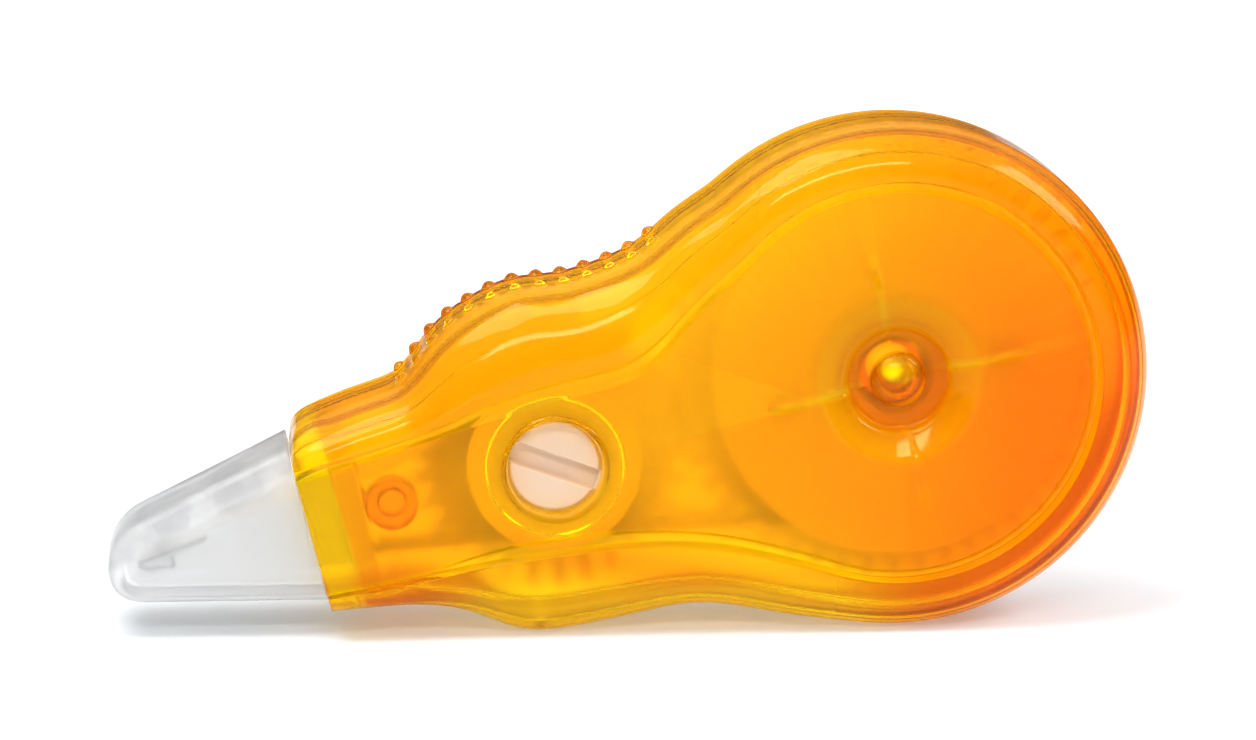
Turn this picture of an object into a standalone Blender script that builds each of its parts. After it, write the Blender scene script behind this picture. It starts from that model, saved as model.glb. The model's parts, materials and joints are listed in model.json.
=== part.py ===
"""Small correction tape roller: orange half shells, frosted cap, tape reels, gears and slip clutch.

Metres, +Z up. X runs from the cap's tip to the big round end, Y goes through the thickness of the case.
"""

import math

import bmesh
import bpy
from mathutils import Matrix, Vector

MM = 0.001

# Case: big round end, walls and depth
BIG_RADIUS = 17.6 * MM
BIG_CENTRE_X = 18.2 * MM
WALL = 1.4 * MM
PANEL_WALL = 1.2 * MM
BAND_HALF = 2.5 * MM
PANEL_STEP = 0.5 * MM
SHOULDER_WIDTH = 4.5 * MM
CREST_SHARE = 0.8
SEAM_GAP = 0.3 * MM
FIT = 0.3 * MM

# Gear train between the supply axle and the take-up axle
SUPPLY_TEETH = 50
TAKEUP_TEETH = 31
GEAR_TO_WALL = 0.6 * MM
GEAR_BACKLASH = 0.2 * MM
GEAR_FACE = 1.0 * MM
GEAR_BACK_GAP = 1.4 * MM
AXLE_LINE_ANGLE = math.radians(13.6)

# Case outline along the nose, whose reaches are measured from the guide peg
GRIP_COVER = 2.5 * MM
GUIDE_TO_GEAR = 0.4 * MM
GUIDE_DROP = 2.5 * MM
NOSE_TOP_REACH = 7.3 * MM
NOSE_TOP_DROP = 10.1 * MM
NOSE_BOTTOM_REACH = 4.1 * MM
NOSE_BOTTOM_HEIGHT = 1.77 * MM
NOSE_CORNER_ROUND = 1.3 * MM
PANEL_TOP_STEP = 3.2 * MM
PANEL_BOTTOM_STEP = 1.85 * MM
MOUTH_REACH = 4.0 * MM
TOP_ARC_START = 134
UNDER_ARC_END = -95
PANEL_ARC_START = 142
PANEL_ARC_END = -115

# Grip nubs, one row on each half shell
NUB_COUNT = 13
NUB_RADIUS = 0.62 * MM
NUB_SINK = 0.2 * MM
NUB_ROW_DEPTH = 1.7 * MM
GRIP_START_AHEAD = 10.2 * MM
GRIP_LENGTH = 17.0 * MM

# Hub window and its collar
HUB_FACE_RADIUS = 2.93 * MM
HUB_FACE_RECESS = 1.5 * MM
COLLAR_WIDTH = 1.5 * MM
COLLAR_RISE = 0.5 * MM
HUB_SLOT_WIDTH = 1.4 * MM
HUB_SLOT_DEPTH = 1.0 * MM
HUB_SLOT_ANGLE = math.radians(20)

# Dimple over the supply axle
DIMPLE_MOUTH_RADIUS = 5.2 * MM
DIMPLE_FLOOR_RADIUS = 3.45 * MM
DIMPLE_DEPTH = 1.8 * MM
DIMPLE_SKIN = 1.0 * MM
DOME_RADIUS = 1.92 * MM
DOME_RISE = 1.1 * MM
RIB_INNER = 5.6 * MM
RIB_OUTER = 8.9 * MM
RIB_WIDTH = 0.6 * MM
RIB_TURN = math.radians(12.5)

# Reels, tape and clutch
TAPE_WIDTH = 4.2 * MM
TAPE_THICKNESS = 0.12 * MM
SUPPLY_POST_RADIUS = 2.2 * MM
SUPPLY_SLEEVE_WALL = 1.1 * MM
CLUTCH_RING_THICKNESS = 0.9 * MM
SUPPLY_CORE_WALL = 1.8 * MM
TAPE_BUILD = 3.0 * MM
TAKEUP_POST_RADIUS = 1.4 * MM
HUB_STEP = 0.47 * MM
LINER_BUILD = 1.1 * MM

# Locating pegs on the rear shell, sockets on the front shell
PEG_RADIUS = 0.8 * MM
PEG_REACH = 1.5 * MM
PEG_SINK = 0.25 * MM
UPPER_PEG_TO_GEARS = 1.3 * MM
LOWER_PEG_TO_SUPPLY = 3.5 * MM
LOWER_PEG_TO_TAKEUP = 0.3 * MM
SOCKET_WALL = 0.7 * MM

# Applicator tip and cap
TIP_REACH = 17.1 * MM
TIP_HEIGHT = 4.9 * MM
TIP_GAP = 0.42 * MM
HEAD_BACK_SPACE = 0.7 * MM
FLANGE_WIDTH = 1.4 * MM
FLANGE_MARGIN = 0.5 * MM
CHEEK_MARGIN = 0.5 * MM
CHEEK_THICKNESS = 0.6 * MM
BLADE_LENGTH = 2.2 * MM
CAP_WALL = 1.0 * MM
CAP_TO_NOSE = 0.4 * MM
CAP_TIP_REACH = 19.5 * MM
CAP_TIP_TOP = 8.15 * MM
CAP_LOW_STEP = 0.8 * MM
CAP_HIGH_STEP = 1.05 * MM
CAP_EDGE_ROUND = 0.8 * MM

# Sampling of round shapes
ARC_STEPS = 40
TOP_POINTS = 34
UNDER_POINTS = 28
SHOULDER_STEPS = 4
ROUND_STEPS = 32
SMALL_ROUND_STEPS = 20

# Sizes that follow from the driving dimensions
BIG_CENTRE = Vector((BIG_CENTRE_X, BIG_RADIUS))
SUPPLY_TIP_RADIUS = BIG_RADIUS - WALL - GEAR_TO_WALL
MODULE = 2 * SUPPLY_TIP_RADIUS / (SUPPLY_TEETH + 2)
AXLE_DISTANCE = MODULE * (SUPPLY_TEETH + TAKEUP_TEETH) / 2
TAKEUP_TIP_RADIUS = MODULE * (TAKEUP_TEETH + 2) / 2
TAKEUP_AXIS = BIG_CENTRE - AXLE_DISTANCE * Vector((math.cos(AXLE_LINE_ANGLE), math.sin(AXLE_LINE_ANGLE)))
GRIP_HEIGHT = TAKEUP_AXIS.y + TAKEUP_TIP_RADIUS + GRIP_COVER
TAPE_HALF = TAPE_WIDTH / 2
GEAR_FRONT = TAPE_HALF + FIT
GEAR_BACK = GEAR_FRONT + GEAR_FACE
PANEL_INNER = GEAR_BACK + GEAR_BACK_GAP
PANEL_DEPTH = PANEL_INNER + PANEL_WALL
CREST_DEPTH = PANEL_DEPTH + PANEL_STEP
PANEL_RADIUS = BIG_RADIUS - SHOULDER_WIDTH
SLEEVE_RADIUS = SUPPLY_POST_RADIUS + FIT + SUPPLY_SLEEVE_WALL
CORE_BORE = SLEEVE_RADIUS + CLUTCH_RING_THICKNESS + 2 * FIT
CORE_RADIUS = CORE_BORE + SUPPLY_CORE_WALL
SUPPLY_ROLL_RADIUS = CORE_RADIUS + FIT + TAPE_BUILD
TAKEUP_CORE_RADIUS = HUB_FACE_RADIUS + HUB_STEP
TAKEUP_ROLL_RADIUS = TAKEUP_CORE_RADIUS + FIT + LINER_BUILD
COLLAR_BORE = HUB_FACE_RADIUS + FIT
COLLAR_RADIUS = COLLAR_BORE + COLLAR_WIDTH
COLLAR_FACE = PANEL_DEPTH + COLLAR_RISE
HUB_FACE = COLLAR_FACE - HUB_FACE_RECESS
PEG_ROOT = PANEL_INNER + PEG_SINK
SOCKET_BORE = PEG_RADIUS + FIT
SOCKET_RADIUS = SOCKET_BORE + SOCKET_WALL
CHEEK_INNER = TAPE_HALF + FIT
CHEEK_OUTER = CHEEK_INNER + CHEEK_THICKNESS
CAP_HALF_WIDTH = CHEEK_OUTER + FIT + CAP_WALL
RIB_FOOT = TAPE_HALF + 2 * FIT
SUPPLY_POST_REACH = TAPE_HALF + FIT


def from_takeup(ahead, rise):
    """Point in XZ given from the take-up axis: ahead towards the nose, rise upwards."""
    return Vector((TAKEUP_AXIS.x - ahead, TAKEUP_AXIS.y + rise))


def beside_gears(side, supply_gap, takeup_gap):
    """Peg place above (1) or below (-1) the axle line, at a gap from the teeth of each gear."""
    supply = SUPPLY_TIP_RADIUS + PEG_RADIUS + supply_gap
    takeup = TAKEUP_TIP_RADIUS + PEG_RADIUS + takeup_gap
    along = (BIG_CENTRE - TAKEUP_AXIS) / AXLE_DISTANCE
    ahead = (takeup ** 2 - supply ** 2 + AXLE_DISTANCE ** 2) / (2 * AXLE_DISTANCE)
    aside = math.sqrt(takeup ** 2 - ahead ** 2)
    return TAKEUP_AXIS + ahead * along + side * aside * Vector((-along.y, along.x))


GUIDE_PEG = from_takeup(TAKEUP_TIP_RADIUS + PEG_RADIUS + GUIDE_TO_GEAR, -GUIDE_DROP)
LOWER_PEG = beside_gears(-1, LOWER_PEG_TO_SUPPLY, LOWER_PEG_TO_TAKEUP)
UPPER_PEG = beside_gears(1, UPPER_PEG_TO_GEARS, UPPER_PEG_TO_GEARS)
PEGS = (GUIDE_PEG, LOWER_PEG, UPPER_PEG)
NOSE_TOP = Vector((GUIDE_PEG.x - NOSE_TOP_REACH, GRIP_HEIGHT - NOSE_TOP_DROP))
NOSE_BOTTOM = Vector((GUIDE_PEG.x - NOSE_BOTTOM_REACH, NOSE_BOTTOM_HEIGHT))
NOSE_LINE = (NOSE_TOP - NOSE_BOTTOM).normalized()
FORWARD = Vector((-NOSE_LINE.y, NOSE_LINE.x))
TIP = Vector((GUIDE_PEG.x - TIP_REACH, TIP_HEIGHT))
HEAD_BACK_X = GUIDE_PEG.x - SOCKET_RADIUS - HEAD_BACK_SPACE


def material(name, colour, roughness):
    """Principled plastic of one colour."""
    made = bpy.data.materials.new(name)
    made.use_nodes = True
    shader = made.node_tree.nodes["Principled BSDF"]
    shader.inputs["Base Color"].default_value = (*colour, 1)
    shader.inputs["Roughness"].default_value = roughness
    shader.inputs["Metallic"].default_value = 0
    return made


def solid(name, vertices, faces):
    """Object from vertices and faces, with every face turned outwards."""
    mesh = bpy.data.meshes.new(name)
    mesh.from_pydata(vertices, [], faces)
    shape = bmesh.new()
    shape.from_mesh(mesh)
    bmesh.ops.recalc_face_normals(shape, faces=shape.faces)
    shape.to_mesh(mesh)
    shape.free()
    made = bpy.data.objects.new(name, mesh)
    bpy.context.scene.collection.objects.link(made)
    return made


def stacked(name, rings):
    """Closed body through rings of equal point count, capped at its first and last ring."""
    count = len(rings[0])
    vertices = [tuple(point) for ring in rings for point in ring]
    faces = []
    for level in range(len(rings) - 1):
        for step in range(count):
            following = (step + 1) % count
            low = level * count
            high = low + count
            faces.append((low + step, low + following, high + following, high + step))
    faces.append(tuple(range(count)))
    faces.append(tuple(range(len(vertices) - count, len(vertices))))
    return solid(name, vertices, faces)


def prism(name, outline, back, front):
    """Body with an XZ outline, from one Y to another."""
    rings = [[(point[0], depth, point[1]) for point in outline] for depth in (back, front)]
    return stacked(name, rings)


def circle(centre, radius, steps):
    """Points round a circle in XZ."""
    turns = [2 * math.pi * step / steps for step in range(steps)]
    return [(centre[0] + radius * math.cos(turn), centre[1] + radius * math.sin(turn)) for turn in turns]


def rod(name, centre, radius, back, front, steps=SMALL_ROUND_STEPS):
    """Round bar along Y."""
    return prism(name, circle(centre, radius, steps), back, front)


def cone(name, centre, back_radius, front_radius, back, front):
    """Tapered bar along Y."""
    rings = []
    for radius, depth in ((back_radius, back), (front_radius, front)):
        rings.append([(x, depth, z) for x, z in circle(centre, radius, ROUND_STEPS)])
    return stacked(name, rings)


def turned(name, centre, profile, steps):
    """Ring turned about the Y direction from a closed profile of radius and depth."""
    vertices = []
    for step in range(steps):
        turn = 2 * math.pi * step / steps
        for radius, depth in profile:
            vertices.append((centre[0] + radius * math.cos(turn), depth, centre[1] + radius * math.sin(turn)))
    count = len(profile)
    faces = []
    for step in range(steps):
        near = step * count
        far = ((step + 1) % steps) * count
        for index in range(count):
            following = (index + 1) % count
            faces.append((near + index, near + following, far + following, far + index))
    return solid(name, vertices, faces)


def ring(name, centre, inner, outer, back, front, steps=ROUND_STEPS):
    """Plain tube along Y."""
    return turned(name, centre, [(inner, back), (outer, back), (outer, front), (inner, front)], steps)


def combine(target, tool, operation):
    """Apply one Boolean to the target and remove the tool."""
    step = target.modifiers.new(operation.lower(), "BOOLEAN")
    step.operation = operation
    step.object = tool
    step.solver = "EXACT"
    seen = target.evaluated_get(bpy.context.evaluated_depsgraph_get())
    result = bpy.data.meshes.new_from_object(seen)
    target.modifiers.clear()
    target.data = result
    bpy.data.objects.remove(tool)


def join(target, tool):
    combine(target, tool, "UNION")


def cut(target, tool):
    combine(target, tool, "DIFFERENCE")


def spline(points, steps):
    """Smooth curve through points, with the given number of steps between each pair."""
    padded = [2 * points[0] - points[1], *points, 2 * points[-1] - points[-2]]
    made = []
    for index in range(1, len(padded) - 2):
        before, start, end, after = padded[index - 1:index + 3]
        for step in range(steps):
            t = step / steps
            square = 2 * before - 5 * start + 4 * end - after
            cube = 3 * start - before - 3 * end + after
            made.append(0.5 * (2 * start + (end - before) * t + square * t ** 2 + cube * t ** 3))
    made.append(points[-1].copy())
    return made


def resample(curve, count):
    """The same open curve as count points at equal distances."""
    lengths = [0]
    for start, end in zip(curve, curve[1:]):
        lengths.append(lengths[-1] + (end - start).length)
    made = []
    segment = 0
    for index in range(count):
        wanted = lengths[-1] * index / (count - 1)
        while segment < len(curve) - 2 and lengths[segment + 1] < wanted:
            segment += 1
        share = (wanted - lengths[segment]) / (lengths[segment + 1] - lengths[segment])
        made.append(curve[segment].lerp(curve[segment + 1], share))
    return made


def arc(centre, radius, start, end, steps):
    """Points along a circular arc in XZ, angles in degrees."""
    made = []
    for step in range(steps + 1):
        turn = math.radians(start + (end - start) * step / steps)
        made.append(centre + radius * Vector((math.cos(turn), math.sin(turn))))
    return made


def offset(curve, distance):
    """Open curve moved to its right-hand side."""
    made = []
    for index, point in enumerate(curve):
        along = (curve[min(index + 1, len(curve) - 1)] - curve[max(index - 1, 0)]).normalized()
        made.append(point + distance * Vector((along.y, -along.x)))
    return made


def top_curve():
    """Upper edge of the case from the nose to the big round end, without its nubs."""
    crest = GRIP_HEIGHT - TAKEUP_AXIS.y
    end = arc(BIG_CENTRE, BIG_RADIUS, TOP_ARC_START, TOP_ARC_START, 1)[0]
    points = [NOSE_TOP]
    for share, drop in ((1.434, 8.3), (1.121, 7.1), (1.0, 6.2), (0.808, 3.8), (0.596, 2.1), (0.283, 0.6)):
        points.append(from_takeup(share * TAKEUP_TIP_RADIUS, crest - drop * MM))
    for along, rise in ((0.123, 0), (0.49, 0.268), (0.764, 0.687)):
        x = TAKEUP_AXIS.x + along * (end.x - TAKEUP_AXIS.x)
        points.append(Vector((x, GRIP_HEIGHT + rise * (end.y - GRIP_HEIGHT))))
    points.append(end)
    return resample(spline(points, 6), TOP_POINTS)


def under_curve():
    """Lower edge of the case from the big round end to the nose."""
    start = arc(BIG_CENTRE, BIG_RADIUS, UNDER_ARC_END, UNDER_ARC_END, 1)[0]
    points = [start]
    for along, height in ((0.77, 0.67), (0.462, 1.73), (0.2, 0.75), (0, 0)):
        points.append(Vector((TAKEUP_AXIS.x + along * (start.x - TAKEUP_AXIS.x), height * MM)))
    for share, height in ((0.273, 0.2), (0.596, 1.5), (0.96, 2.05)):
        points.append(Vector((TAKEUP_AXIS.x - share * TAKEUP_TIP_RADIUS, height * MM)))
    points.append(NOSE_BOTTOM)
    return resample(spline(points, 6), UNDER_POINTS)


def between(start, end, shares):
    """Points at the given shares of the way from start to end."""
    return [start.lerp(end, share) for share in shares]


def case_outline(inset, reach):
    """Closed outline of the case, moved inwards by inset and carried past the nose by reach."""
    big = arc(BIG_CENTRE, BIG_RADIUS - inset, TOP_ARC_START, UNDER_ARC_END, ARC_STEPS)
    under = offset(under_curve(), inset)
    top = offset(top_curve(), inset)
    if reach:
        under[-1] = under[-1] + reach * FORWARD
        top[0] = top[0] + reach * FORWARD
        front = between(under[-1], top[0], (0.4, 0.8))
    else:
        low = NOSE_TOP - NOSE_CORNER_ROUND * NOSE_LINE
        high = NOSE_TOP + NOSE_CORNER_ROUND * (top[2] - NOSE_TOP).normalized()
        front = [low, (low + high + 2 * NOSE_TOP) / 4]
        top = resample([high, *top[2:]], len(top))
    return big[:-1] + under + front + top[:-1]


def panel_outline(reach):
    """Closed outline of the recessed side panel, carried past the nose by reach."""
    big = arc(BIG_CENTRE, PANEL_RADIUS, PANEL_ARC_START, PANEL_ARC_END, ARC_STEPS)
    low = NOSE_BOTTOM + PANEL_BOTTOM_STEP * NOSE_LINE + reach * FORWARD
    high = NOSE_TOP - PANEL_TOP_STEP * NOSE_LINE + reach * FORWARD
    under = [big[-1]]
    for along, up in ((0.658, 0.747), (0.32, 0.666)):
        under.append(TAKEUP_AXIS + Vector((along, up)) * (big[-1] - TAKEUP_AXIS))
    for share, rise in ((0.06, -4.6), (0.535, -5.7), (0.889, -6.95)):
        under.append(from_takeup(share * TAKEUP_TIP_RADIUS, rise * MM))
    under.append(low)
    top = [high]
    for share, rise in ((0.909, 1.9), (0.081, 4.35)):
        top.append(from_takeup(share * TAKEUP_TIP_RADIUS, rise * MM))
    for along, up in ((0.436, 0.457), (0.752, 0.776)):
        top.append(TAKEUP_AXIS + Vector((along, up)) * (big[0] - TAKEUP_AXIS))
    top.append(big[0])
    under = resample(spline(under, 6), UNDER_POINTS)
    top = resample(spline(top, 6), TOP_POINTS)
    return big[:-1] + under + between(low, high, (0.4, 0.8)) + top[:-1]


def half_body(name, side, inset, crest, panel, seam, reach):
    """One half of the case as a closed body: flat band, rounded shoulder, step down to the panel."""
    outer = case_outline(inset, reach)
    inner = panel_outline(reach)
    levels = [(0, seam)]
    for step in range(SHOULDER_STEPS + 1):
        turn = math.pi / 2 * step / SHOULDER_STEPS
        levels.append((CREST_SHARE * (1 - math.cos(turn)), BAND_HALF + (crest - BAND_HALF) * math.sin(turn)))
    levels.append((1, panel))
    rings = []
    for share, depth in levels:
        points = [start.lerp(end, share) for start, end in zip(outer, inner)]
        rings.append([(point.x, side * depth, point.y) for point in points])
    return stacked(name, rings)


def half_shell(name, side):
    """Hollow half of the case, open at the seam and at the nose."""
    shell = half_body(name, side, 0, CREST_DEPTH, PANEL_DEPTH, SEAM_GAP / 2, 0)
    hollow = half_body("hollow", side, WALL, CREST_DEPTH - WALL, PANEL_INNER, -WALL, MOUTH_REACH)
    cut(shell, hollow)
    return shell


def add_nubs(shell, side):
    """Row of round nubs along the grip."""
    curve = top_curve()
    back = TAKEUP_AXIS.x - GRIP_START_AHEAD + GRIP_LENGTH
    grip = [point for point in curve if back - GRIP_LENGTH <= point.x <= back]
    for point in resample(grip, NUB_COUNT):
        bpy.ops.mesh.primitive_ico_sphere_add(subdivisions=2, radius=NUB_RADIUS)
        nub = bpy.context.object
        nub.data.transform(Matrix.Translation((point.x, side * NUB_ROW_DEPTH, point.y - NUB_SINK)))
        join(shell, nub)


def front_case():
    """Near half shell: window and collar for the hub, dimple with a dome and ribs, peg sockets."""
    shell = half_shell("front_case", -1)
    join(shell, rod("collar", TAKEUP_AXIS, COLLAR_RADIUS, -PANEL_INNER, -COLLAR_FACE, ROUND_STEPS))
    cut(shell, rod("window", TAKEUP_AXIS, COLLAR_BORE, -PANEL_INNER + WALL, -COLLAR_FACE - WALL, ROUND_STEPS))
    floor = PANEL_DEPTH - DIMPLE_DEPTH
    slope = (DIMPLE_MOUTH_RADIUS - DIMPLE_FLOOR_RADIUS) / DIMPLE_DEPTH
    back = floor - DIMPLE_SKIN
    back_radius = DIMPLE_FLOOR_RADIUS + DIMPLE_SKIN
    mouth = PANEL_INNER + PANEL_WALL / 2
    join(shell, cone("boss", BIG_CENTRE, back_radius, back_radius + slope * (mouth - back), -back, -mouth))
    over = PANEL_DEPTH + PANEL_WALL
    over_radius = DIMPLE_FLOOR_RADIUS + slope * (over - floor)
    cut(shell, cone("dimple", BIG_CENTRE, DIMPLE_FLOOR_RADIUS, over_radius, -floor, -over))
    bpy.ops.mesh.primitive_uv_sphere_add(segments=SMALL_ROUND_STEPS, ring_count=10, radius=DOME_RADIUS)
    dome = bpy.context.object
    dome.data.transform(Matrix.Scale(DOME_RISE / DOME_RADIUS, 4, (0, 0, 1)))
    dome.data.transform(Matrix.Rotation(math.pi / 2, 4, "X"))
    dome.data.transform(Matrix.Translation((BIG_CENTRE.x, -floor, BIG_CENTRE.y)))
    join(shell, dome)
    for quarter in range(4):
        turn = RIB_TURN + quarter * math.pi / 2
        along = Vector((math.cos(turn), math.sin(turn)))
        across = Vector((-along.y, along.x)) * RIB_WIDTH / 2
        near = BIG_CENTRE + RIB_INNER * along
        far = BIG_CENTRE + RIB_OUTER * along
        outline = [near - across, far - across, far + across, near + across]
        join(shell, prism("rib", outline, -RIB_FOOT, -PANEL_INNER - PANEL_WALL / 2))
    for peg in PEGS:
        join(shell, rod("socket", peg, SOCKET_RADIUS, -SEAM_GAP / 2 - FIT, -PEG_ROOT))
        cut(shell, rod("socket_bore", peg, SOCKET_BORE, WALL, -PEG_REACH - FIT))
    add_nubs(shell, -1)
    return shell


def rear_case():
    """Far half shell: plain panel, axle posts for both reels and the locating pegs."""
    shell = half_shell("rear_case", 1)
    root = PANEL_INNER + PANEL_WALL / 2
    join(shell, rod("supply_post", BIG_CENTRE, SUPPLY_POST_RADIUS, -SUPPLY_POST_REACH, root, ROUND_STEPS))
    join(shell, rod("takeup_post", TAKEUP_AXIS, TAKEUP_POST_RADIUS, -TAPE_HALF, root))
    join(shell, ring("supply_seat", BIG_CENTRE, SUPPLY_POST_RADIUS / 2, SLEEVE_RADIUS, GEAR_BACK + FIT, root))
    seat = GEAR_BACK + FIT
    join(shell, ring("takeup_seat", TAKEUP_AXIS, TAKEUP_POST_RADIUS / 2, TAKEUP_CORE_RADIUS, seat, root))
    for peg in PEGS:
        join(shell, rod("peg", peg, PEG_RADIUS, -PEG_REACH, PEG_ROOT))
    add_nubs(shell, 1)
    return shell


def gear(name, centre, teeth, bore, turn):
    """Spur gear with straight-flanked teeth, one tooth pointing along turn."""
    pitch_radius = MODULE * teeth / 2
    tip = pitch_radius + MODULE
    root = pitch_radius - 1.25 * MODULE
    thickness = (math.pi * MODULE / 2 - GEAR_BACKLASH) / pitch_radius
    outline = []
    for tooth in range(teeth):
        middle = turn + 2 * math.pi * tooth / teeth
        for radius, share in ((root, -0.85), (tip, -0.25), (tip, 0.25), (root, 0.85)):
            angle = middle + share * thickness
            outline.append((centre[0] + radius * math.cos(angle), centre[1] + radius * math.sin(angle)))
    body = prism(name, outline, GEAR_FRONT, GEAR_BACK)
    cut(body, rod("bore", centre, bore, GEAR_FRONT - WALL, GEAR_BACK + WALL, ROUND_STEPS))
    return body


def supply_gear():
    """Large gear with the sleeve that the clutch ring grips."""
    towards = AXLE_LINE_ANGLE + math.pi
    body = gear("supply_gear", BIG_CENTRE, SUPPLY_TEETH, SUPPLY_POST_RADIUS + FIT, towards)
    bore = SUPPLY_POST_RADIUS + FIT
    join(body, ring("sleeve", BIG_CENTRE, bore, SLEEVE_RADIUS, -TAPE_HALF, GEAR_BACK - GEAR_FACE / 2))
    return body


def supply_core():
    """Core of the fresh tape, free to slip round the clutch ring."""
    return ring("supply_core", BIG_CENTRE, CORE_BORE, CORE_RADIUS, -TAPE_HALF, TAPE_HALF)


def clutch_ring():
    """Rubber ring between the gear's sleeve and the core."""
    radius = SLEEVE_RADIUS + FIT + CLUTCH_RING_THICKNESS / 2
    profile = circle((radius, 0), CLUTCH_RING_THICKNESS / 2, 8)
    return turned("clutch_ring", BIG_CENTRE, profile, ROUND_STEPS)


def takeup_gear():
    """Small gear that winds the spent liner, with a gap facing the large gear's tooth."""
    towards = AXLE_LINE_ANGLE + math.pi / TAKEUP_TEETH
    return gear("takeup_gear", TAKEUP_AXIS, TAKEUP_TEETH, TAKEUP_CORE_RADIUS + FIT, towards)


def takeup_hub():
    """White hub: bored core on the post, round face in the window with a coin slot."""
    hub = rod("takeup_hub", TAKEUP_AXIS, TAKEUP_CORE_RADIUS, -PANEL_INNER + FIT, GEAR_BACK, ROUND_STEPS)
    join(hub, rod("face", TAKEUP_AXIS, HUB_FACE_RADIUS, -HUB_FACE, 0, ROUND_STEPS))
    cut(hub, rod("bore", TAKEUP_AXIS, TAKEUP_POST_RADIUS + FIT, -TAPE_HALF - FIT, GEAR_BACK + WALL))
    along = Vector((math.cos(HUB_SLOT_ANGLE), -math.sin(HUB_SLOT_ANGLE))) * 2 * HUB_FACE_RADIUS
    across = Vector((-along.y, along.x)).normalized() * HUB_SLOT_WIDTH / 2
    corners = [-along - across, along - across, along + across, -along + across]
    outline = [TAKEUP_AXIS + corner for corner in corners]
    cut(hub, prism("slot", outline, -HUB_FACE + HUB_SLOT_DEPTH, -HUB_FACE - WALL))
    return hub


def tape_rolls():
    """Wound rolls of fresh tape and of spent liner, as plain rings."""
    return [
        ring("tape_supply", BIG_CENTRE, CORE_RADIUS + FIT, SUPPLY_ROLL_RADIUS, -TAPE_HALF, TAPE_HALF),
        ring("tape_takeup", TAKEUP_AXIS, TAKEUP_CORE_RADIUS + FIT, TAKEUP_ROLL_RADIUS, -TAPE_HALF, TAPE_HALF),
    ]


def tape_strip(name, centre_line):
    """Thin tape along an XZ line, as wide as the rolls."""
    left = offset(centre_line, -TAPE_THICKNESS / 2)
    right = offset(centre_line, TAPE_THICKNESS / 2)
    return prism(name, left + right[::-1], -TAPE_HALF, TAPE_HALF)


def tangent_point(centre, radius, point, side):
    """Where a straight line from a point touches a circle, on its left (1) or right (-1) side."""
    away = point - centre
    spread = math.acos(radius / away.length)
    direction = math.atan2(away.y, away.x) + side * spread
    return centre + radius * Vector((math.cos(direction), math.sin(direction)))


def tape_routes():
    """Centre lines of the tape to the tip and of the liner back to the take-up roll."""
    lower = LOWER_PEG + Vector((0, SOCKET_RADIUS + FIT))
    upper = GUIDE_PEG + Vector((0, SOCKET_RADIUS + FIT))
    below = TIP - Vector((0, TIP_GAP))
    above = TIP + Vector((0, TIP_GAP))
    wrap = arc(TIP, TIP_GAP, 250, 150, 4)
    feed = [tangent_point(BIG_CENTRE, SUPPLY_ROLL_RADIUS + FIT, lower, 1), lower, below, *wrap]
    back = [above, upper, tangent_point(TAKEUP_AXIS, TAKEUP_ROLL_RADIUS + FIT, upper, -1)]
    return feed, back


def height_on(start, end, x):
    """Height of the straight line from start to end at x."""
    return start.y + (end.y - start.y) * (x - start.x) / (end.x - start.x)


def wedge_outline(back_x, front_x, margin):
    """Outline between the two tape runs, kept inside them by margin."""
    feed, back = tape_routes()
    low = [Vector((x, height_on(feed[1], feed[2], x) + margin)) for x in (back_x, front_x)]
    high = [Vector((x, height_on(back[0], back[1], x) - margin)) for x in (front_x, back_x)]
    return low + high


def applicator_head():
    """Tip frame: wedge between the tape runs, two cheeks beside them, a flange held in the nose."""
    wedge_front = TIP.x + BLADE_LENGTH
    head = prism("applicator_head", wedge_outline(HEAD_BACK_X, wedge_front, FIT), -CHEEK_OUTER, CHEEK_OUTER)
    cheek_front = wedge_front + BLADE_LENGTH
    flange_back = (NOSE_BOTTOM - GUIDE_PEG).dot(FORWARD) - SOCKET_RADIUS - FIT
    flange_low = PANEL_BOTTOM_STEP + FLANGE_MARGIN
    flange_high = (NOSE_TOP - NOSE_BOTTOM).length - PANEL_TOP_STEP - FLANGE_MARGIN
    corners = ((0, flange_low), (FLANGE_WIDTH, flange_low), (FLANGE_WIDTH, flange_high), (0, flange_high))
    flange = [NOSE_BOTTOM - (flange_back - ahead) * FORWARD + up * NOSE_LINE for ahead, up in corners]
    for side in (-1, 1):
        cheek = wedge_outline(HEAD_BACK_X, cheek_front, -CHEEK_MARGIN)
        join(head, prism("cheek", cheek, side * CHEEK_INNER, side * CHEEK_OUTER))
        join(head, prism("flange", flange, side * CHEEK_INNER, side * (PANEL_INNER - FIT)))
    return head


def applicator_blade():
    """Soft pressing edge in front of the tip frame."""
    outline = wedge_outline(TIP.x + BLADE_LENGTH - FIT, TIP.x, FIT)
    return prism("applicator_blade", outline, -CHEEK_INNER, CHEEK_INNER)


def cap_curve():
    """Side view of the cap from the lower end of its mouth, round the tip, to the upper end."""
    tip_x = GUIDE_PEG.x - CAP_TIP_REACH
    low = NOSE_BOTTOM + CAP_LOW_STEP * NOSE_LINE + CAP_TO_NOSE * FORWARD
    high = NOSE_TOP - CAP_HIGH_STEP * NOSE_LINE + CAP_TO_NOSE * FORWARD
    span = CAP_TIP_TOP - low.y
    tip = [Vector((tip_x + 1.9 * MM, low.y)), Vector((tip_x + 0.5 * MM, low.y + 0.12 * span))]
    tip += [Vector((tip_x, low.y + 0.42 * span)), Vector((tip_x + 0.7 * MM, low.y + 0.76 * span))]
    tip += [Vector((tip_x + 2.3 * MM, CAP_TIP_TOP))]
    return [low, *spline(tip, 3), high]


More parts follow.
